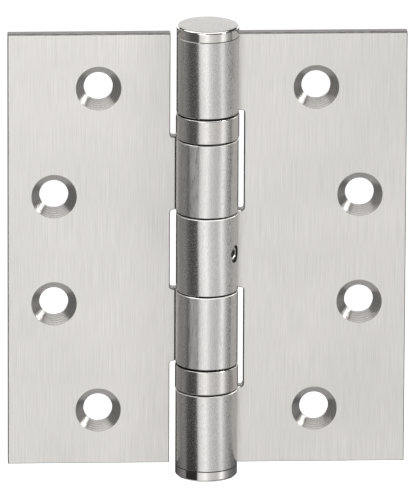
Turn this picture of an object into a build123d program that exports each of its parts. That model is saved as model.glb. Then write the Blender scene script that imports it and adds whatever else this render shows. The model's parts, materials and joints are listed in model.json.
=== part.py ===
from build123d import *
import os
from math import cos, radians, sin

# Five-knuckle butt hinge with two thrust ball bearings, lying open flat. Millimetres, +Z up along the pin.
# The origin is on the pin axis at mid height. The frame leaf reaches +X, the door leaf -X, both face -Y.

# Leaves
leaf_height = 114.3
leaf_reach = 50.8  # pin axis to the leaf's outer edge
leaf_thickness = 3.4
closed_gap = 1.6  # between the two front faces when the hinge is shut
notch_clearance = 1.5  # from a knuckle to the edge of the other leaf
notch_corner_radius = 0.8
bend_radius = 2.5  # where the leaf's back curves into its knuckles
seam_width = 0.25  # where the rolled end comes back to the leaf
seam_groove_width = 0.35  # pressed into the door leaf's front beside its rolled ends
seam_groove_depth = 0.5
edge_break = 0.2

# Screw holes: an end pair near the barrel and a middle pair further out, all at one pitch
hole_pitch = 28.575
end_hole_reach = 27.7
middle_hole_reach = 39.0
hole_radius = 3.7
countersink_radius = 5.8
countersink_angle = 82

# Barrel
pin_diameter = 9.0
pin_clearance = 0.05  # radial running fit in the knuckles
end_knuckle_length = 20.25
centre_knuckle_length = 20.45
knuckle_gap = 0.35
bearing_height = 7.05
cap_thickness = 2.75
cap_chamfer = 0.45
plug_depth = 5.0
pin_end_gap = 1.0  # between the pin and the plug, inside the bottom knuckle
pin_end_chamfer = 0.6

# Thrust bearings
shell_proud = 0.15  # the shell stands out from the knuckles
shell_wall = 0.5
shell_end_gap = 0.4
shell_edge_break = 0.25
race_running_clearance = 0.1  # pin to races, and door race to shell
race_gap = 1.3
ball_diameter = 2.0
ball_count = 6
ball_clearance = 0.03  # balls to races and cage
cage_thickness = 0.8
cage_clearance = 0.15  # cage to pin and shell

# Set screw that locks the pin to the centre knuckle
set_screw_diameter = 4.0
set_screw_angle = 62  # from the front of the barrel towards the frame leaf
set_screw_recess = 0.5
set_screw_mouth_diameter = 4.6
set_screw_tip_diameter = 1.8
set_screw_tip_length = 1.1
set_screw_tip_clearance = 0.05
socket_across_flats = 2.0
socket_depth = 1.5
groove_width = 3.2
groove_depth = 0.6

# Derived sizes
half_height = leaf_height / 2
pin_radius = pin_diameter / 2
bore_radius = pin_radius + pin_clearance
knuckle_radius = bore_radius + leaf_thickness
notch_edge = knuckle_radius + notch_clearance
leaf_front = closed_gap / 2
leaf_back = leaf_front + leaf_thickness
leaf_middle = (leaf_front + leaf_back) / 2
bearing_top = half_height - end_knuckle_length
bearing_bottom = bearing_top - bearing_height
bearing_middle = (bearing_top + bearing_bottom) / 2
door_knuckle_end = centre_knuckle_length / 2 + knuckle_gap
shell_outer_radius = knuckle_radius + shell_proud
shell_inner_radius = shell_outer_radius - shell_wall
shell_height = bearing_height - 2 * shell_end_gap
race_inner_radius = pin_radius + race_running_clearance
race_thickness = (bearing_height - race_gap) / 2
ball_radius = ball_diameter / 2
ball_circle_radius = (pin_radius + shell_inner_radius) / 2
groove_radius = pin_radius - groove_depth
screw_radius = set_screw_diameter / 2
screw_tip = groove_radius + set_screw_tip_clearance
screw_shoulder = screw_tip + set_screw_tip_length
screw_head = knuckle_radius - set_screw_recess
cap_top = half_height + cap_thickness
plug_top = plug_depth - half_height
touch = 0.01  # positions closer than this are the same

# Each knuckle is a range of heights along the barrel
frame_knuckles = [
    (bearing_top, half_height),
    (-centre_knuckle_length / 2, centre_knuckle_length / 2),
    (-half_height, -bearing_top),
]
door_knuckles = [(door_knuckle_end, bearing_bottom), (-bearing_bottom, -door_knuckle_end)]

front_plane = Plane.XZ.offset(-leaf_front)
screw_plane = Plane(
    origin=(0, 0, 0),
    x_dir=(0, 0, 1),
    z_dir=(sin(radians(set_screw_angle)), -cos(radians(set_screw_angle)), 0),
)

os.makedirs("parts", exist_ok=True)


def save(piece, name):
    """Labels a finished piece and writes it under its name."""
    piece.part.label = name
    export_step(piece.part, f"parts/{name}.step")


def knuckle_section(side, height):
    """The rolled strip seen along the pin: the leaf's end curls behind the pin and back to its own front face."""
    with BuildSketch(Plane.XY.offset(height)) as section:
        Circle(knuckle_radius)
        with Locations((side * notch_edge / 2, leaf_middle)):
            Rectangle(notch_edge, leaf_thickness)
        back_corner = section.vertices().filter_by_position(Axis.Y, leaf_back - touch, leaf_back + touch)
        fillet(back_corner.sort_by(Axis.X)[1 if side < 0 else -2], bend_radius)
        with Locations((side * knuckle_radius, leaf_front - seam_width / 2)):
            Rectangle(2 * leaf_thickness, seam_width, mode=Mode.SUBTRACT)
        Circle(bore_radius, mode=Mode.SUBTRACT)
    return section


def leaf(side, knuckles):
    """A notched plate on one side of the pin, with its rolled knuckles, broken edges and countersunk holes."""
    plate_width = leaf_reach - notch_edge
    with BuildPart() as plate:
        with BuildSketch(front_plane):
            with Locations((side * (notch_edge + plate_width / 2), 0)):
                Rectangle(plate_width, leaf_height)
        extrude(amount=-leaf_thickness)
        for low, high in knuckles:
            extrude(knuckle_section(side, low).sketch, amount=high - low)

        # Round the inner corners of the notches
        corners = plate.edges().filter_by(Axis.Y).filter_by(lambda e: abs(abs(e.center().X) - notch_edge) < touch)
        fillet(corners.filter_by(lambda e: abs(e.center().Z) < half_height - touch), notch_corner_radius)

        # Break the edges of both faces and the ends of the knuckles, but not the upright lines of the bends
        on_face = leaf_thickness / 2 - touch
        face_edges = plate.edges().filter_by(lambda e: on_face < abs(e.center().Y - leaf_middle) < on_face + 2 * touch)
        level = face_edges.filter_by(Axis.Z, reverse=True)
        upright = face_edges.filter_by(Axis.Z).filter_by(lambda e: abs(e.center().X) > notch_edge - touch)
        rims = plate.edges().filter_by(GeomType.CIRCLE).filter_by(lambda e: abs(e.radius - knuckle_radius) < touch)
        chamfer(level + upright + rims, edge_break)

        with Locations(front_plane.location):
            with Locations(
                (side * end_hole_reach, 1.5 * hole_pitch),
                (side * middle_hole_reach, 0.5 * hole_pitch),
                (side * middle_hole_reach, -0.5 * hole_pitch),
                (side * end_hole_reach, -1.5 * hole_pitch),
            ):
                CounterSinkHole(hole_radius, countersink_radius, counter_sink_angle=countersink_angle)
    return plate


def race(outer_radius, middle, side):
    """A hardened ring above (+1) or below (-1) the balls, with a right-angled V groove for them in its face."""
    width = outer_radius - race_inner_radius
    groove_side = 2 * (ball_radius + ball_clearance)
    with BuildPart() as ring:
        with BuildSketch(Plane.XZ):
            with Locations((race_inner_radius + width / 2, middle + side * (race_gap + race_thickness) / 2)):
                Rectangle(width, race_thickness)
            with Locations((ball_circle_radius, middle)):
                Rectangle(groove_side, groove_side, rotation=45, mode=Mode.SUBTRACT)
        revolve(axis=Axis.Z)
    return ring


def thrust_bearing(name, middle, frame_side):
    """A shell pressed on the race that stands on a frame knuckle, the race of the door knuckle, and caged balls."""
    with BuildPart() as shell:
        with BuildSketch(Plane.XY.offset(middle - shell_height / 2)):
            Circle(shell_outer_radius)
            Circle(shell_inner_radius, mode=Mode.SUBTRACT)
        extrude(amount=shell_height)
        chamfer(shell.edges().filter_by(GeomType.CIRCLE).group_by(SortBy.RADIUS)[-1], shell_edge_break)
    save(shell, f"{name}_shell")

    save(race(shell_inner_radius, middle, frame_side), f"{name}_frame_race")
    save(race(shell_inner_radius - race_running_clearance, middle, -frame_side), f"{name}_door_race")

    with BuildPart() as cage:
        with BuildSketch(Plane.XY.offset(middle - cage_thickness / 2)):
            Circle(shell_inner_radius - cage_clearance)
            Circle(pin_radius + cage_clearance, mode=Mode.SUBTRACT)
            with PolarLocations(ball_circle_radius, ball_count):
                Circle(ball_radius + ball_clearance, mode=Mode.SUBTRACT)
        extrude(amount=cage_thickness)
    save(cage, f"{name}_cage")

    for number in range(ball_count):
        with BuildPart(Plane.XY.offset(middle)) as ball:
            with PolarLocations(ball_circle_radius, 1, start_angle=360 / ball_count * number):
                Sphere(ball_radius)
        save(ball, f"{name}_ball_{number + 1}")


# Frame leaf, with the tapped hole of the set screw through its centre knuckle
with BuildPart() as frame_leaf:
    add(leaf(1, frame_knuckles).part)
    with Locations(screw_plane.offset(knuckle_radius).location):
        CounterSinkHole(screw_radius, set_screw_mouth_diameter / 2, depth=knuckle_radius, counter_sink_angle=90)
save(frame_leaf, "frame_leaf")

# Door leaf, with the groove that the rolled ends press into its front
with BuildPart() as door_leaf:
    add(leaf(-1, door_knuckles).part)
    for low, high in door_knuckles:
        with BuildSketch(Plane.XY.offset(low)):
            with Locations((-knuckle_radius - seam_groove_width / 2, leaf_front + seam_groove_depth / 2)):
                Rectangle(seam_groove_width, seam_groove_depth)
        extrude(amount=high - low, mode=Mode.SUBTRACT)
save(door_leaf, "door_leaf")

# Hinge pin, turned in one piece with its flat head and the groove that the set screw enters
with BuildPart() as hinge_pin:
    with BuildSketch(Plane.XZ):
        with BuildLine():
            Polyline(
                (0, plug_top + pin_end_gap),
                (pin_radius - pin_end_chamfer, plug_top + pin_end_gap),
                (pin_radius, plug_top + pin_end_gap + pin_end_chamfer),
                (pin_radius, -groove_width / 2),
                (groove_radius, -groove_width / 2),
                (groove_radius, groove_width / 2),
                (pin_radius, groove_width / 2),
                (pin_radius, half_height),
                (knuckle_radius, half_height),
                (knuckle_radius, cap_top - cap_chamfer),
                (knuckle_radius - cap_chamfer, cap_top),
                (0, cap_top),
                close=True,
            )
        make_face()
    revolve(axis=Axis.Z)
save(hinge_pin, "hinge_pin")

# Bottom plug, a flat cap with a spigot pressed into the bottom knuckle
with BuildPart() as bottom_plug:
    with BuildSketch(Plane.XZ):
        with BuildLine():
            Polyline(
                (0, -cap_top),
                (knuckle_radius - cap_chamfer, -cap_top),
                (knuckle_radius, cap_chamfer - cap_top),
                (knuckle_radius, -half_height),
                (bore_radius, -half_height),
                (bore_radius, plug_top),
                (0, plug_top),
                close=True,
            )
        make_face()
    revolve(axis=Axis.Z)
save(bottom_plug, "bottom_plug")

# Set screw, its cone point in the pin's groove and its hexagon socket just below the knuckle's surface
with BuildPart() as set_screw:
    with BuildSketch(screw_plane.offset(screw_tip)):
        Circle(set_screw_tip_diameter / 2)
    with BuildSketch(screw_plane.offset(screw_shoulder)):
        Circle(screw_radius)
    loft()
    with BuildSketch(screw_plane.offset(screw_shoulder)):
        Circle(screw_radius)
    extrude(amount=screw_head - screw_shoulder)
    with BuildSketch(screw_plane.offset(screw_head)):
        RegularPolygon(socket_across_flats / 2, 6, major_radius=False)
    extrude(amount=-socket_depth, mode=Mode.SUBTRACT)
save(set_screw, "set_screw")

# The upper bearing hangs under a frame knuckle and the lower one stands on a frame knuckle
thrust_bearing("upper_bearing", bearing_middle, 1)
thrust_bearing("lower_bearing", -bearing_middle, -1)
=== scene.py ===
import json
from math import radians

import bmesh
import bpy
import numpy as np
from mathutils import Matrix, Vector


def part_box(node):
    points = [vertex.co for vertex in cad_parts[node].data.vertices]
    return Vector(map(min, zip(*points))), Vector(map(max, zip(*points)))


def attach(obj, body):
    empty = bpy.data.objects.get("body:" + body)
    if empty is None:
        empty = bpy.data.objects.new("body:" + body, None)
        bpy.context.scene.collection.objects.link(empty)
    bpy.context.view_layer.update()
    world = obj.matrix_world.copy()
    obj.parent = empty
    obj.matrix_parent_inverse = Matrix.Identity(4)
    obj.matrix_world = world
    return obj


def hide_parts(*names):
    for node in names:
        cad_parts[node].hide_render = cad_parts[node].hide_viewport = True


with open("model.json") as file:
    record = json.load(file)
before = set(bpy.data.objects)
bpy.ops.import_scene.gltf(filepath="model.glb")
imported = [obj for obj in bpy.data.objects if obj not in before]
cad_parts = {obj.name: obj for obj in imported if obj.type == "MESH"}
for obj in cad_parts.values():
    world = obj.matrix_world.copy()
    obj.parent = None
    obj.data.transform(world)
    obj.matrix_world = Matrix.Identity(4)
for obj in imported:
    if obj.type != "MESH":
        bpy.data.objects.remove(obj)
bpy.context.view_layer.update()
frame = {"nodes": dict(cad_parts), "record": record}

# Frame leaf and door leaf: plates blanked from 3.4 mm stainless sheet, with tongues rolled into knuckles.
# Their faces are satin brushed along the pin, their edges sheared and their countersinks turned.
# Each keeps the CAD surface, with its triangles joined so that the rolled knuckles shade as one curve.
mm = 0.001
barrel_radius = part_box("hinge_pin")[1].x / mm  # the pin's head is as wide as the knuckles
bore_radius = 4.55
leaf_half_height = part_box("frame_leaf")[1].z / mm
plate_front = 0.8
plate_start = barrel_radius + 0.3
notch_reach = 10.5
seam_middle = (8.125, 1.0)  # the groove where a roll meets its plate: out from the pin, and behind it
seam_half = (0.2, 0.4)
groove_start = plate_front + 0.05
tapped_start = 1.0  # the set screw's hole: out from the pin, and half its height
tapped_half = 2.5
top_rim_depth = 1.0
screw_holes = np.array([
    (mount["pos_m"][0] / mm, end * mount["dims"]["spacing_y_mm"] / 2)
    for mount in frame["record"]["mounts"] if mount["kind"] == "bolt_pattern" for end in (1, -1)])
countersink_radius = 5.8
join_reach = 0.002
crease = radians(30)


def placed(name, data):
    """A new object at the origin that holds this mesh, lamp or camera."""
    thing = bpy.data.objects.new(name, data)
    bpy.context.scene.collection.objects.link(thing)
    return thing


def joined_copy(name, node):
    """A new piece with a CAD node's own surface, its loose triangles joined along their edges."""
    mesh = frame["nodes"][node].data.copy()
    mesh.name = name
    work = bmesh.new()
    work.from_mesh(mesh)
    bmesh.ops.remove_doubles(work, verts=work.verts, dist=join_reach * mm)
    work.to_mesh(mesh)
    work.free()
    mesh.materials.clear()
    if "custom_normal" in mesh.attributes:
        mesh.attributes.remove(mesh.attributes["custom_normal"])
    return placed(name, mesh)


def shade(piece):
    """Smooth shading up to the crease angle, with large faces setting the direction of shared corners."""
    piece.data.shade_smooth()
    piece.data.set_sharp_from_angle(angle=crease)
    even = piece.modifiers.new("even_shading", "WEIGHTED_NORMAL")
    even.keep_sharp = True
    even.weight = 100


def face_places(mesh):
    """Centres in millimetres and unit normals of all faces, as two arrays."""
    count = len(mesh.polygons)
    centres = np.empty(count * 3)
    normals = np.empty(count * 3)
    mesh.polygons.foreach_get("center", centres)
    mesh.polygons.foreach_get("normal", normals)
    return centres.reshape(-1, 3) / mm, normals.reshape(-1, 3)


def dress(piece, everywhere, *finishes):
    """Gives every face one material, then the faces of each (material, mask) pair that one instead."""
    index = np.zeros(len(piece.data.polygons), np.int32)
    piece.data.materials.append(everywhere)
    for number, (material, mask) in enumerate(finishes, 1):
        piece.data.materials.append(material)
        index[mask] = number
    piece.data.polygons.foreach_set("material_index", index)


def lay_out_cones(mesh, holes):
    """Gives each corner its distance in millimetres from the nearest screw hole's axis, and each triangle a
    UV map with that distance along its first axis and, along its second, the angle round the hole times the
    countersink's radius, each angle unwrapped towards that of the triangle's first corner."""
    points = np.empty(len(mesh.vertices) * 3)
    mesh.vertices.foreach_get("co", points)
    offset = points.reshape(-1, 1, 3)[:, :, [0, 2]] / mm - holes
    nearest = np.hypot(offset[..., 0], offset[..., 1]).argmin(1)
    offset = offset[np.arange(len(offset)), nearest]
    reach = np.hypot(offset[:, 0], offset[:, 1])
    distance = mesh.attributes.new("from_hole_axis", "FLOAT", "POINT")
    distance.data.foreach_set("value", reach.astype(np.float32))
    corner = np.empty(len(mesh.loops), np.int32)
    mesh.loops.foreach_get("vertex_index", corner)
    turn = np.arctan2(offset[corner, 1], offset[corner, 0])
    first = np.repeat(turn[::3], 3)
    turn = first + (turn - first + np.pi) % (2 * np.pi) - np.pi
    unrolled = np.stack([reach[corner], turn * countersink_radius], 1)
    mesh.uv_layers.new(name="down_the_cone").data.foreach_set("uv", unrolled.ravel())


def linear(colour):
    """An sRGB hex colour as linear red, green, blue and alpha."""
    srgb = np.array([int(colour[i:i + 2], 16) for i in (1, 3, 5)]) / 255
    return (*np.where(srgb <= 0.04045, srgb / 12.92, ((srgb + 0.055) / 1.055) ** 2.4), 1.0)


def add_node(material, kind, sockets, **settings):
    """One node: its settings by name, and each input a value or another node's output, by name or number."""
    new = material.node_tree.nodes.new("ShaderNode" + kind)
    for name, value in settings.items():
        setattr(new, name, value)
    for name, value in sockets.items():
        if isinstance(value, bpy.types.NodeSocket):
            material.node_tree.links.new(value, new.inputs[name])
        else:
            new.inputs[name].default_value = value
    return new


# A Mix node's sockets by number, because its values and its colours share their names
first_value, second_value, mixed_value = 2, 3, 0
first_colour, second_colour, mixed_colour = 6, 7, 2

cloud_size = 30.0  # the slow change in a steel's tone, and its weight beside the scratches
cloud_weight = 0.3
tone_marks = (0.4, 0.9)  # scratches and cloud added up, at the dark tone and at the light one
grains_per_scratch = 3.0
grain_marks = (0.42, 0.7)  # the grain's level at the first roughness and at the second
smear_strength = 0.9


def steel(name, dark, light, roughness, scratch, depth, pattern=None, rubbed=None, smear=None):
    """A steel whose scratches have the given size along X, Y and Z in millimetres: they vary its tone from
    dark to light and its height by a depth in micrometres, over a slow change in tone. Finer grains vary
    its roughness from the first value to the second. A pattern changes the scratches, rubbed changes the
    roughness, and smear names a UV map whose first axis is the way that mirrored light smears."""
    material = bpy.data.materials.new(name)
    material.use_nodes = True
    material.node_tree.nodes.clear()
    place = add_node(material, "TexCoord", {}).outputs["Object"]
    laid = add_node(material, "Mapping", {"Vector": place, "Scale": [1 / (mm * size) for size in scratch]})
    lines = add_node(material, "TexNoise", {
        "Vector": laid.outputs[0], "Scale": 1.0, "Detail": 3.0, "Roughness": 0.65})
    marks = pattern(material, lines.outputs["Fac"]) if pattern else lines.outputs["Fac"]
    cloud = add_node(material, "TexNoise", {"Vector": place, "Scale": 1 / (mm * cloud_size), "Detail": 2.0})
    both = add_node(material, "Math", {
        0: cloud.outputs["Fac"], 1: cloud_weight, 2: marks}, operation="MULTIPLY_ADD")
    amount = add_node(material, "MapRange", {
        "Value": both.outputs[0], "From Min": tone_marks[0], "From Max": tone_marks[1]})
    tone = add_node(material, "Mix", {
        "Factor": amount.outputs[0], first_colour: linear(dark), second_colour: linear(light)},
        data_type="RGBA")
    grain = add_node(material, "TexNoise", {
        "Vector": laid.outputs[0], "Scale": grains_per_scratch, "Detail": 1.0})
    gloss = add_node(material, "MapRange", {
        "Value": grain.outputs["Fac"], "From Min": grain_marks[0], "From Max": grain_marks[1],
        "To Min": roughness[0], "To Max": roughness[1]})
    dullness = rubbed(material, place, marks, gloss.outputs[0]) if rubbed else gloss.outputs[0]
    bump = add_node(material, "Bump", {"Height": marks, "Strength": 1.0, "Distance": depth * 1e-6})
    shader = add_node(material, "BsdfPrincipled", {
        "Base Color": tone.outputs[mixed_colour], "Metallic": 1.0, "Roughness": dullness,
        "Normal": bump.outputs[0]})
    if smear:
        way = add_node(material, "Tangent", {}, direction_type="UV_MAP", uv_map=smear)
        material.node_tree.links.new(way.outputs[0], shader.inputs["Tangent"])
        shader.inputs["Anisotropic"].default_value = smear_strength
    end = add_node(material, "OutputMaterial", {"Surface": shader.outputs[0]})
    end.is_active_output = True
    return material


# Satin brushed stainless sheet: a soft mirror with fine upright lines. The real lines are about 0.05 mm
# wide and are drawn 0.16 mm wide here, so that they show.
satin_brushed_stainless = steel(
    "satin_brushed_stainless", "#CFCDC9", "#E8E5E2",
    roughness=(0.48, 0.62), scratch=(0.16, 0.16, 12.0), depth=0.9)


# Rolled and ground stainless of the knuckles: a tight mirror with a fine grain, dulled by upright brush
# lines in the strip where the belt that brushed the leaf's face ran over the roll. The real grain is about
# 0.05 mm wide and is drawn 0.14 to 0.22 mm wide here, so that it shows.
def brushed_strip(middle, half_width, roughness, worn_marks):
    """Changes a finish's roughness to the strip's own where the angle round the pin from the front, in
    degrees, nears the strip's middle: none of it where the scratches are at the first worn mark, and all of
    it at the second."""
    def rubbed(material, place, marks, gloss):
        part = add_node(material, "SeparateXYZ", {0: place})
        front = add_node(material, "Math", {0: part.outputs["Y"], 1: -1.0}, operation="MULTIPLY")
        turn = add_node(material, "Math", {0: part.outputs["X"], 1: front.outputs[0]}, operation="ARCTAN2")
        off = add_node(material, "Math", {0: turn.outputs[0], 1: radians(middle)}, operation="SUBTRACT")
        away = add_node(material, "Math", {0: off.outputs[0]}, operation="ABSOLUTE")
        near = add_node(material, "MapRange", {
            "Value": away.outputs[0], "From Max": radians(half_width), "To Min": 1.0, "To Max": 0.0},
            interpolation_type="SMOOTHSTEP")
        worn = add_node(material, "MapRange", {
            "Value": marks, "From Min": worn_marks[0], "From Max": worn_marks[1]})
        share = add_node(material, "Math", {0: near.outputs[0], 1: worn.outputs[0]}, operation="MULTIPLY")
        mixed = add_node(material, "Mix", {
            "Factor": share.outputs[0], first_value: gloss, second_value: roughness})
        return mixed.outputs[mixed_value]
    return rubbed


ground_knuckle_stainless = steel(
    "ground_knuckle_stainless", "#BEBCBA", "#D2D0CE",
    roughness=(0.13, 0.31), scratch=(0.22, 0.22, 0.9), depth=0.7,
    rubbed=brushed_strip(middle=42, half_width=26, roughness=0.5, worn_marks=(0.35, 0.59)))
brushed_knuckle_stainless = steel(
    "brushed_knuckle_stainless", "#BEBCBA", "#D2D0CE",
    roughness=(0.14, 0.4), scratch=(0.14, 0.14, 3.0), depth=1.2,
    rubbed=brushed_strip(middle=-30, half_width=15, roughness=0.75, worn_marks=(0.31, 0.54)))

# Sheared stainless: the blanked edge of the sheet, half dull. The punch burnished most of it bright, and
# towards the front, where the sheet broke away, it is rough and dark along a wavy border.
break_depth = 0.9
break_wave = 1.6
border_half = 0.2
broken_shift = -0.3
burnished_shift = 0.25


def sheared_bands(material, grain):
    """Marks that are light on the burnished band and dark on the broken one: the depth behind the plate's
    front, plus a noise that varies along the edge, against the depth of the break."""
    place = add_node(material, "TexCoord", {}).outputs["Object"]
    depth = add_node(material, "SeparateXYZ", {0: place}).outputs["Y"]
    waves = add_node(material, "TexNoise", {"Vector": place, "Scale": 1 / (mm * break_wave), "Detail": 2.0})
    wavy = add_node(material, "Math", {
        0: waves.outputs["Fac"], 1: break_wave * mm, 2: depth}, operation="MULTIPLY_ADD")
    border = plate_front + break_depth + break_wave / 2
    band = add_node(material, "MapRange", {
        "Value": wavy.outputs[0],
        "From Min": (border - border_half) * mm, "From Max": (border + border_half) * mm,
        "To Min": broken_shift, "To Max": burnished_shift})
    return add_node(material, "Math", {0: band.outputs[0], 1: grain}, operation="ADD").outputs[0]


sheared_stainless = steel(
    "sheared_stainless", "#646260", "#A3A09D",
    roughness=(0.4, 0.55), scratch=(1.2, 0.3, 0.35), depth=3.0, pattern=sheared_bands)

# Painted shade: the plate's broken edges and the knuckles' top rims, where the shear rolled the sheet over,
# painted as a dull dark line.
edge_painted_shade_stainless = steel(
    "edge_painted_shade_stainless", "#3E3D3B", "#8A8784",
    roughness=(0.4, 0.5), scratch=(1.5, 0.8, 0.8), depth=3.0)

# Milled stainless: the walls and upper ends of the notches, cut smooth and bright. Their floors are sheared.
milled_stainless = steel(
    "milled_stainless", "#C4C1BE", "#D8D5D2",
    roughness=(0.15, 0.28), scratch=(0.3, 2.0, 0.3), depth=1.0)

# Painted shade: the sawn ends and lower rims of the knuckles, the nip of the rolled seam and the tapped hole
# are painted dull and nearly black, as the shade in these joints, creases and holes.
painted_shade_stainless = steel(
    "painted_shade_stainless", "#242322", "#3E3C3A",
    roughness=(0.4, 0.55), scratch=(0.4, 0.4, 0.4), depth=3.0)

# Painted highlight: the upper rims of the knuckles, a lighter copy of the knuckles' steel where the rims
# face up, painted as a soft light line under each joint.
rim_painted_highlight_stainless = steel(
    "rim_painted_highlight_stainless", "#C8C5C2", "#E0DDDA",
    roughness=(0.28, 0.4), scratch=(0.4, 0.4, 0.4), depth=1.0)

# Reamed stainless: the bores, dull and dark with fine rings.
reamed_stainless = steel(
    "reamed_stainless", "#8A8784", "#A5A29F",
    roughness=(0.3, 0.45), scratch=(1.5, 1.5, 0.3), depth=2.0)

# Turned stainless: the countersinks, bright cut metal with rings left by the cutter. The real rings are
# about 0.08 mm apart and are drawn 0.45 mm apart here, so that they show.
ring_spacing = 0.45
ring_height = 0.12


def cutter_rings(material, grain):
    """Height of the cutter's rings: a sine of the distance from the hole's axis, roughened by the grain."""
    reach = add_node(material, "Attribute", {}, attribute_name="from_hole_axis").outputs["Fac"]
    turns = add_node(material, "Math", {0: reach, 1: 2 * np.pi / ring_spacing}, operation="MULTIPLY")
    wave = add_node(material, "Math", {0: turns.outputs[0]}, operation="SINE")
    rings = add_node(material, "Math", {
        0: wave.outputs[0], 1: ring_height, 2: grain}, operation="MULTIPLY_ADD")
    return rings.outputs[0]


turned_countersink_stainless = steel(
    "turned_countersink_stainless", "#8E8B89", "#C0BDBA",
    roughness=(0.32, 0.4), scratch=(0.3, 0.3, 0.3), depth=6.0,
    pattern=cutter_rings, smear="down_the_cone")

# How the faces are told apart: by the parts of their normals along the axes, and by where their middles lie
facing = 0.99
edgewise = 0.05
edge_break_lean = np.cos(radians(45))
lean_spread = 0.02
barrel_lean = 0.95
notch_floor_lean = 0.3
touch = 0.1

for name, node, body, side, knuckle_finish in (
    ("frame_leaf_plate", "frame_leaf", "frame_side", 1, ground_knuckle_stainless),
    ("door_leaf_plate", "door_leaf", "door_side", -1, brushed_knuckle_stainless),
):
    leaf = joined_copy(name, node)
    holes = screw_holes[screw_holes[:, 0] * side > 0]
    centre, normal = face_places(leaf.data)
    x, y, z = centre.T
    upward = normal[:, 2]
    lean = np.abs(normal)
    round_pin = np.hypot(x, y)
    outward = (centre[:, :2] * normal[:, :2]).sum(1) / round_pin
    from_hole = np.hypot(*(centre[:, None, [0, 2]] - holes).transpose(2, 0, 1)).min(1)
    flat = lean[:, 1] > facing
    upright = lean[:, 2] < edgewise
    barrel = (np.abs(round_pin - barrel_radius) < touch) & (outward > barrel_lean) & upright
    bore = (round_pin < bore_radius + touch) & upright
    knuckle_end = (lean[:, 2] > facing) & (round_pin < barrel_radius)
    edge = (lean[:, 1] < edgewise) & (round_pin > plate_start)
    notch = edge & (np.abs(x) < notch_reach) & (np.abs(z) < leaf_half_height - touch)
    broken = np.abs(lean - edge_break_lean).min(1) < lean_spread
    rim = broken & ~barrel & ~bore & (round_pin < barrel_radius)
    top_rim = rim & (z > leaf_half_height - top_rim_depth)
    cone = (from_hole < countersink_radius) & ~flat
    screw_bore = cone & (lean[:, 1] < edgewise)
    nip = (np.abs(centre[:, :2] * [side, 1] - seam_middle) < seam_half).all(1)
    nip &= ~barrel & ((y > groove_start) | ~flat)
    tapped = (side > 0) & (x > tapped_start) & (np.abs(z) < tapped_half)
    tapped &= (round_pin < barrel_radius + touch) & ~barrel & ~flat
    dress(leaf, satin_brushed_stainless,
          (knuckle_finish, barrel),
          (sheared_stainless, edge),
          (milled_stainless, notch & (upward < notch_floor_lean)),
          # painted highlight: the upward-facing rims get a lighter steel
          (rim_painted_highlight_stainless, rim & (upward > 0)),
          # painted shade: broken edges and top rims get a dark steel
          (edge_painted_shade_stainless, (broken & ~cone & (round_pin > barrel_radius)) | top_rim),
          (turned_countersink_stainless, cone),
          (reamed_stainless, screw_bore | bore),
          # painted shade: the knuckle ends, lower rims, the seam's nip and the tapped hole are painted
          # nearly black
          (painted_shade_stainless, knuckle_end | (rim & (upward < 0)) | nip | tapped))
    lay_out_cones(leaf.data, holes)
    shade(leaf)
    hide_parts(node)
    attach(leaf, body)

# Hinge pin: stainless bar turned in one piece with its flat head, which closes the top of the barrel.
# The head's face is faced off, its rim polished, and a groove at mid height takes the set screw's point.
pin_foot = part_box("hinge_pin")[0].z / mm
cap_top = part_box("hinge_pin")[1].z / mm
pin_radius = 4.5
pin_end_break = 0.6
groove_radius = 3.9
groove_half = 1.6
sharp_rounding = 0.05
joint_rounding = 0.08
rim_rounding = 0.65
face_crown = 0.04
crown_reach = 4.0
crown_rounding = 1.0
turned_columns = 160
curve_points = 7
weld_reach = 0.001
sliver_width = 0.0005


def grid_piece(name, points):
    """A closed piece from a grid of points: rows follow a closed profile, columns go round, both wrap."""
    rows, columns = points.shape[:2]
    index = np.arange(rows * columns).reshape(rows, columns)
    across = np.roll(index, -1, 1)
    down = np.roll(index, -1, 0)
    faces = np.stack([index, across, np.roll(down, -1, 1), down], -1).reshape(-1, 4)
    mesh = bpy.data.meshes.new(name)
    mesh.from_pydata(points.reshape(-1, 3), [], faces)
    work = bmesh.new()
    work.from_mesh(mesh)
    bmesh.ops.remove_doubles(work, verts=work.verts, dist=weld_reach * mm)
    bmesh.ops.dissolve_degenerate(work, edges=work.edges, dist=sliver_width * mm)
    bmesh.ops.recalc_face_normals(work, faces=work.faces)
    work.to_mesh(mesh)
    work.free()
    return placed(name, mesh)


def turned_piece(name, corners):
    """A piece turned about the pin: each profile corner (radius, height, rounding) in millimetres becomes a
    quadratic curve between the points one rounding before and after it, and each point (r, z) of the
    profile goes round to (r cos a, r sin a, z)."""
    r, z, rounding = np.array(corners, float).T
    corner = np.stack([r, z], 1)
    step_in = np.roll(corner, 1, 0) - corner
    step_out = np.roll(corner, -1, 0) - corner
    start = corner + rounding[:, None] * step_in / np.linalg.norm(step_in, axis=1, keepdims=True)
    end = corner + rounding[:, None] * step_out / np.linalg.norm(step_out, axis=1, keepdims=True)
    t = np.linspace(0, 1, curve_points)[None, :, None]
    curve = (1 - t) ** 2 * start[:, None] + 2 * t * (1 - t) * corner[:, None] + t ** 2 * end[:, None]
    profile = curve.reshape(-1, 2)
    angle = np.linspace(0, 2 * np.pi, turned_columns, endpoint=False)
    points = np.stack([np.outer(profile[:, 0], np.cos(angle)), np.outer(profile[:, 0], np.sin(angle)),
                       np.repeat(profile[:, 1:], turned_columns, 1)], -1)
    return grid_piece(name, points * mm)


# Faced stainless: the flat ends of the head and plug, even and silky.
faced_stainless = steel(
    "faced_stainless", "#C2BFBC", "#D4D1CE",
    roughness=(0.26, 0.36), scratch=(4.0, 0.3, 0.3), depth=0.6)

# Polished stainless: the rims of the head and plug, nearly a mirror, with a trace of the belt round them.
polished_stainless = steel(
    "polished_stainless", "#C8C5C2", "#D6D3D0",
    roughness=(0.07, 0.13), scratch=(2.5, 2.5, 0.25), depth=0.3)

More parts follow.
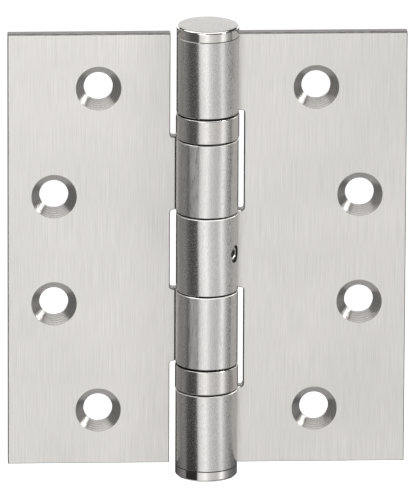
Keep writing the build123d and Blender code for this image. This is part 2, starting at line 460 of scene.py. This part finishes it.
face_lean = 0.9
pin = turned_piece("turned_hinge_pin", [
    (0, pin_foot, 0),
    (pin_radius - pin_end_break, pin_foot, sharp_rounding),
    (pin_radius, pin_foot + pin_end_break, sharp_rounding),
    (pin_radius, -groove_half, sharp_rounding),
    (groove_radius, -groove_half, sharp_rounding),
    (groove_radius, groove_half, sharp_rounding),
    (pin_radius, groove_half, sharp_rounding),
    (pin_radius, leaf_half_height, 0),
    (barrel_radius, leaf_half_height, joint_rounding),
    (barrel_radius, cap_top - face_crown, rim_rounding),
    (crown_reach, cap_top - face_crown / 4, crown_rounding),
    (0, cap_top, 0)])
upward = face_places(pin.data)[1][:, 2]
dress(pin, polished_stainless, (faced_stainless, np.abs(upward) > face_lean))
shade(pin)
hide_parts("hinge_pin")
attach(pin, "frame_side")

# Bottom plug: a turned stainless cap that matches the pin's head, pressed into the bottom knuckle.
# Its foot is faced off and its rim polished like the head's, and its upper faces, in the joint under the
# bottom knuckle, are painted dark as shade.
plug_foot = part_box("bottom_plug")[0].z / mm
plug_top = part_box("bottom_plug")[1].z / mm
spigot_rounding = 0.2
painted_shade_lean = 0.1
plug = turned_piece("turned_bottom_plug", [
    (0, plug_foot, 0),
    (crown_reach, plug_foot + face_crown / 4, crown_rounding),
    (barrel_radius, plug_foot + face_crown, rim_rounding),
    (barrel_radius, -leaf_half_height, joint_rounding),
    (bore_radius, -leaf_half_height, 0),
    (bore_radius, plug_top, spigot_rounding),
    (0, plug_top, 0)])
upward = face_places(plug.data)[1][:, 2]
# the plug's upper faces get the painted shade
dress(plug, polished_stainless,
      (faced_stainless, upward < -face_lean),
      (painted_shade_stainless, upward > painted_shade_lean))
shade(plug)
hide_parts("bottom_plug")
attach(plug, "frame_side")

# Bearing shells: short rings drawn from thin stainless tube, pressed over the frame races as covers.
# They stand a hair proud of the knuckles, with rounded edges, of which the lower ones are painted dark as
# the shade under them.
shell_wall = 0.5
shell_inset = 0.01  # keeps the round ring inside the box of the CAD one, which is faceted
shell_rounding = 0.3
lower_edge_lean = 0.35

# Drawn stainless: a bright tight mirror with faint lines along the draw.
drawn_stainless = steel(
    "drawn_stainless", "#C0BDBA", "#D2CFCC",
    roughness=(0.16, 0.28), scratch=(0.2, 0.2, 0.6), depth=0.6)

for name, node in (
    ("upper_bearing_ring", "upper_bearing_shell"),
    ("lower_bearing_ring", "lower_bearing_shell"),
):
    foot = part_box(node)[0].z / mm
    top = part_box(node)[1].z / mm
    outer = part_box(node)[1].x / mm - shell_inset
    inner = outer - shell_wall
    ring = turned_piece(name, [
        (inner, foot, sharp_rounding), (outer, foot, shell_rounding),
        (outer, top, shell_rounding), (inner, top, sharp_rounding)])
    upward = face_places(ring.data)[1][:, 2]
    # the ring's lower edges get the painted shade
    dress(ring, drawn_stainless, (painted_shade_stainless, upward < -lower_edge_lean))
    shade(ring)
    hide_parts(node)
    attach(ring, "frame_side")

# Set screw: a small hardened grub screw with a hexagon socket, driven through the centre knuckle.
# It sits just below the knuckle's surface, and its point locks the pin to the frame leaf.
screw_angle = radians(62)
screw_tip = 3.95
screw_head = 7.45
screw_radius = 2.0
tip_radius = 0.95
tip_length = 1.1
head_break = 0.25
head_shoulder = 1.86
mouth_radius = 1.3
mouth_shoulder = 1.24
mouth_depth = 0.2
socket_half = 1.0
socket_floor = 6.0
drill_point = 0.3
screw_columns = 96
circle, hexagon = 0, 1
# Each row's distance from the pin's axis, its radius, which is a hexagon's inner one, and its outline
screw_rows = np.array([
    (screw_tip, 0.0, circle),
    (screw_tip, tip_radius - 2 * sharp_rounding, circle),
    (screw_tip + sharp_rounding, tip_radius, circle),
    (screw_tip + tip_length, screw_radius, circle),
    (screw_head - head_break, screw_radius, circle),
    (screw_head - sharp_rounding, head_shoulder, circle),
    (screw_head, screw_radius - head_break, circle),
    (screw_head, mouth_radius, circle),
    (screw_head - sharp_rounding, mouth_shoulder, circle),
    (screw_head - mouth_depth, socket_half, hexagon),
    (socket_floor, socket_half, hexagon),
    (socket_floor - sharp_rounding, socket_half - sharp_rounding, hexagon),
    (socket_floor - drill_point, 0.0, circle)])


def screw_points(rows):
    """Rows of points round the screw's axis: a circle's radius, or a hexagon's, which is its inner radius
    divided by the cosine of the angle from the middle of the nearest side."""
    angle = np.linspace(0, 2 * np.pi, screw_columns, endpoint=False)
    six_sides = 1 / np.cos((angle % (np.pi / 3)) - np.pi / 6)
    radius = rows[:, 1:2] * np.where(rows[:, 2:3] == hexagon, six_sides, 1.0)
    axis = np.array([np.sin(screw_angle), -np.cos(screw_angle), 0.0])
    side = np.array([np.cos(screw_angle), np.sin(screw_angle), 0.0])
    up = np.array([0.0, 0.0, 1.0])
    return (rows[:, None, :1] * axis + (radius * np.cos(angle))[..., None] * side
            + (radius * np.sin(angle))[..., None] * up) * mm


# Oiled hardened steel: bright grey and half polished, with small pits left by the heat treatment.
oiled_hardened_steel = steel(
    "oiled_hardened_steel", "#A09D9A", "#C4C1BE",
    roughness=(0.2, 0.32), scratch=(0.2, 0.2, 0.2), depth=3.0)

screw = grid_piece("socket_set_screw", screw_points(screw_rows))
dress(screw, oiled_hardened_steel)
shade(screw)
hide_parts("set_screw")
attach(screw, "frame_side")

# Races, balls and cages inside the bearings: hardened chrome steel rings ground on both faces, polished
# balls, and brass cages stamped from strip. They show only as glints through the gaps beside the shells, and
# the races are painted nearly black, as painted shade inside those gaps.
bearing_race_painted_shade_steel = steel(
    "bearing_race_painted_shade_steel", "#1F1E1D", "#32312F",
    roughness=(0.3, 0.45), scratch=(1.2, 1.2, 0.2), depth=0.6)
polished_ball_steel = steel(
    "polished_ball_steel", "#BBBAB9", "#CBCAC9",
    roughness=(0.05, 0.09), scratch=(0.3, 0.3, 0.3), depth=0.1)
stamped_brass = steel(
    "stamped_brass", "#B08A3C", "#D0A858",
    roughness=(0.25, 0.38), scratch=(0.5, 0.5, 0.5), depth=1.0)
for part, finish in (
    ("_race", bearing_race_painted_shade_steel),
    ("_ball_", polished_ball_steel),
    ("_cage", stamped_brass),
):
    for node, piece in frame["nodes"].items():
        if part in node:
            piece.data.materials.clear()
            piece.data.materials.append(finish)

# Table: white card well below the hinge, which hangs by its screw holes. It glows, so that from every side
# it is as white as the walls beyond it, and the metal doesn't mirror it.
table_drop = 0.3
table_half = 5.0
corners = np.array([[-1, -1], [1, -1], [1, 1], [-1, 1]]) * table_half
mesh = bpy.data.meshes.new("floor")
mesh.from_pydata(np.column_stack([corners, np.full(4, -table_drop)]), [], [(0, 1, 2, 3)])
white_table = bpy.data.materials.new("white_table")
white_table.use_nodes = True
for socket, value in (("Base Color", linear("#B0B0B0")), ("Roughness", 0.7),
                      ("Emission Color", linear("#FFFFFF")), ("Emission Strength", 1.0)):
    white_table.node_tree.nodes["Principled BSDF"].inputs[socket].default_value = value
mesh.materials.append(white_table)
floor = placed("floor", mesh)
floor.visible_glossy = False

# Light tent: a round wall of lit cloth about the hinge, raised at the left, that the metal mirrors and the
# camera doesn't see. A dark flag at the front left makes the barrel's dark streak, and a black card low on
# it darkens the plug.

# Angles round the pin in degrees, from the front towards the frame leaf, and the cloth's brightness there:
# first in the band that the barrel mirrors, then above and below it, where it fades towards the foot
barrel_levels = [
    (-180, 0.03), (-158, 0.03), (-143, 0.12), (-130, 0.16), (-108, 0.25), (-92, 0.32), (-78, 0.2),
    (-66, 0.12), (-37, 0.11), (-31, 1.02), (-4, 1.55), (4, 1.18), (14, 0.95), (33, 0.82), (42, 0.9),
    (55, 1.6), (61, 1.35), (75, 0.6), (96, 0.26), (124, 0.18), (165, 0.14), (180, 0.03)]
leaf_levels = [
    (-180, 2.4), (-148, 2.0), (-130, 0.9), (-108, 0.2), (-75, 0.2), (-60, 0.08), (-42, 0.1), (-35, 1.4),
    (-24, 2.4), (0, 2.4), (12, 1.0), (25, 0.35), (50, 0.1), (105, 0.1), (130, 0.9), (148, 2.0), (180, 2.4)]
peak_level = 2.4
foot_fade = 0.15
rim_fade = 1.1
tent_radius = 0.45
tent_foot = -0.45
tent_rim = 0.05
panel_head = 0.3
panel_left = radians(-125)
panel_right = radians(-15)
band_middle = -0.137
band_half = 0.09
band_blend = 0.04
card_left = radians(-82)
card_right = radians(-36.5)
card_top = -0.192
card_level = 0.03
tent_columns = 96
row = tent_columns + 1  # points in a row, with the first one again at its end

angle = np.linspace(0, 2 * np.pi, row)
wall = np.stack([np.cos(angle), np.sin(angle)], 1) * tent_radius
points = np.concatenate([
    np.column_stack([wall, np.full(row, height)]) for height in (tent_foot, tent_rim, panel_head)])
from_front = np.arctan2(wall[:-1, 0], -wall[:-1, 1])
panel = np.flatnonzero((from_front > panel_left) & (from_front < panel_right)) + row
low = np.concatenate([np.arange(tent_columns), panel])
mesh = bpy.data.meshes.new("light_tent")
mesh.from_pydata(points, [], np.stack([low, low + 1, low + row + 1, low + row], 1))

tent_cloth = bpy.data.materials.new("lit_tent_cloth")
tent_cloth.use_nodes = True
tent_cloth.node_tree.nodes.clear()
place = add_node(tent_cloth, "TexCoord", {}).outputs["Object"]
part = add_node(tent_cloth, "SeparateXYZ", {0: place})
front = add_node(tent_cloth, "Math", {0: part.outputs["Y"], 1: -1.0}, operation="MULTIPLY")
turn = add_node(tent_cloth, "Math", {0: part.outputs["X"], 1: front.outputs[0]}, operation="ARCTAN2")
share = add_node(tent_cloth, "MapRange", {"Value": turn.outputs[0], "From Min": -np.pi, "From Max": np.pi})
ramps = []
for levels in (barrel_levels, leaf_levels):
    ramp = add_node(tent_cloth, "ValToRGB", {"Fac": share.outputs[0]})
    stops = ramp.color_ramp.elements
    for number, (degrees, level) in enumerate(levels):
        spot = (degrees + 180) / 360
        stop = stops[number] if number < 2 else stops.new(spot)  # a new ramp has two stops already
        stop.position = spot
        stop.color = (*[level / peak_level] * 3, 1.0)
    ramps.append(ramp.outputs[0])
beside = add_node(tent_cloth, "Math", {
    0: turn.outputs[0], 1: (card_left + card_right) / 2, 2: (card_right - card_left) / 2},
    operation="COMPARE")
below = add_node(tent_cloth, "Math", {0: part.outputs["Z"], 1: card_top}, operation="LESS_THAN")
card = add_node(tent_cloth, "Math", {0: beside.outputs[0], 1: below.outputs[0]}, operation="MULTIPLY")
band = add_node(tent_cloth, "Mix", {
    "Factor": card.outputs[0], first_colour: ramps[0],
    second_colour: (*[card_level / peak_level] * 3, 1.0)}, data_type="RGBA")
drop = add_node(tent_cloth, "MapRange", {
    "Value": part.outputs["Z"], "From Min": tent_foot, "From Max": tent_rim,
    "To Min": foot_fade, "To Max": rim_fade})
faded = add_node(tent_cloth, "VectorMath", {0: ramps[1], "Scale": drop.outputs[0]}, operation="SCALE")
off_band = add_node(tent_cloth, "Math", {0: part.outputs["Z"], 1: band_middle}, operation="SUBTRACT")
away = add_node(tent_cloth, "Math", {0: off_band.outputs[0]}, operation="ABSOLUTE")
outside = add_node(tent_cloth, "MapRange", {
    "Value": away.outputs[0], "From Min": band_half, "From Max": band_half + band_blend})
cloth = add_node(tent_cloth, "Mix", {
    "Factor": outside.outputs[0], first_colour: band.outputs[mixed_colour],
    second_colour: faded.outputs[0]}, data_type="RGBA")
glow = add_node(tent_cloth, "Emission", {"Color": cloth.outputs[mixed_colour], "Strength": peak_level})
add_node(tent_cloth, "OutputMaterial", {"Surface": glow.outputs[0]})
mesh.materials.append(tent_cloth)
tent = placed("light_tent", mesh)
tent.visible_camera = False
tent.visible_diffuse = False
tent.visible_shadow = False

# Studio walls: white up to the horizon, where they are the background, and dark grey above it, so that the
# softboxes alone light what faces up.
grey_rise = 0.1
walls = bpy.data.worlds.new("white_studio")
walls.use_nodes = True
walls.node_tree.nodes.clear()
way = add_node(walls, "TexCoord", {}).outputs["Generated"]
height = add_node(walls, "SeparateXYZ", {0: way}).outputs["Z"]
rise = add_node(walls, "MapRange", {"Value": height, "From Min": 0.0, "From Max": grey_rise})
paint = add_node(walls, "Mix", {
    "Factor": rise.outputs[0], first_colour: linear("#FFFFFF"), second_colour: linear("#3A3A3A")},
    data_type="RGBA")
light = add_node(walls, "Background", {"Color": paint.outputs[mixed_colour], "Strength": 1.0})
add_node(walls, "OutputWorld", {"Surface": light.outputs[0]})
bpy.context.scene.world = walls

# Softboxes: two overhead, a small key at the right for the bright spots in the countersinks, and a panel
# behind that the cap's face mirrors. Each has a place, a target, a width, a height and a power.
for name, place, target, width, height, power in (
    ("overhead_left_softbox", (-0.6, 0.05, 0.68), (-0.6, 0.05, 0.0), 0.8, 0.8, 5.2),
    ("overhead_right_softbox", (0.2, -0.2, 0.68), (0.2, -0.2, 0.0), 0.8, 0.9, 4.8),
    ("key_softbox", (0.64, -0.36, 0.36), (0.0, 0.0, 0.0), 0.2, 0.22, 3.4),
    ("back_panel", (0.0, 0.77, 0.24), (0.0, 0.0, 0.0), 1.6, 0.4, 2.25),
):
    softbox = bpy.data.lights.new(name, "AREA")
    softbox.shape = "RECTANGLE"
    softbox.size = width
    softbox.size_y = height
    softbox.energy = power
    lamp = placed(name, softbox)
    lamp.location = place
    lamp.rotation_euler = (Vector(place) - Vector(target)).to_track_quat("Z", "Y").to_euler()
    lamp.visible_camera = False

# Camera: a long lens a little left of the front that looks down on the hinge, which is centred and nearly
# fills the picture. Its focal length follows from the picture's scale at the pin.
azimuth = radians(-2.5)
elevation = radians(17.0)
roll = radians(0.25)
distance = 3.0
pixels_per_mm = 3.92
picture_height = 500
lens = bpy.data.cameras.new("camera")
lens.sensor_width = 36.0
lens.lens = pixels_per_mm / mm * distance * lens.sensor_width / picture_height
lens.clip_end = 50.0
camera = placed("camera", lens)
camera.location = distance * Vector((
    np.sin(azimuth) * np.cos(elevation), -np.cos(azimuth) * np.cos(elevation), np.sin(elevation)))
level = Matrix.Rotation(azimuth, 3, "Z") @ Matrix.Rotation(np.pi / 2 - elevation, 3, "X")
camera.rotation_euler = (level @ Matrix.Rotation(roll, 3, "Z")).to_euler()
bpy.context.scene.camera = camera
bpy.context.scene.view_settings.view_transform = "Standard"
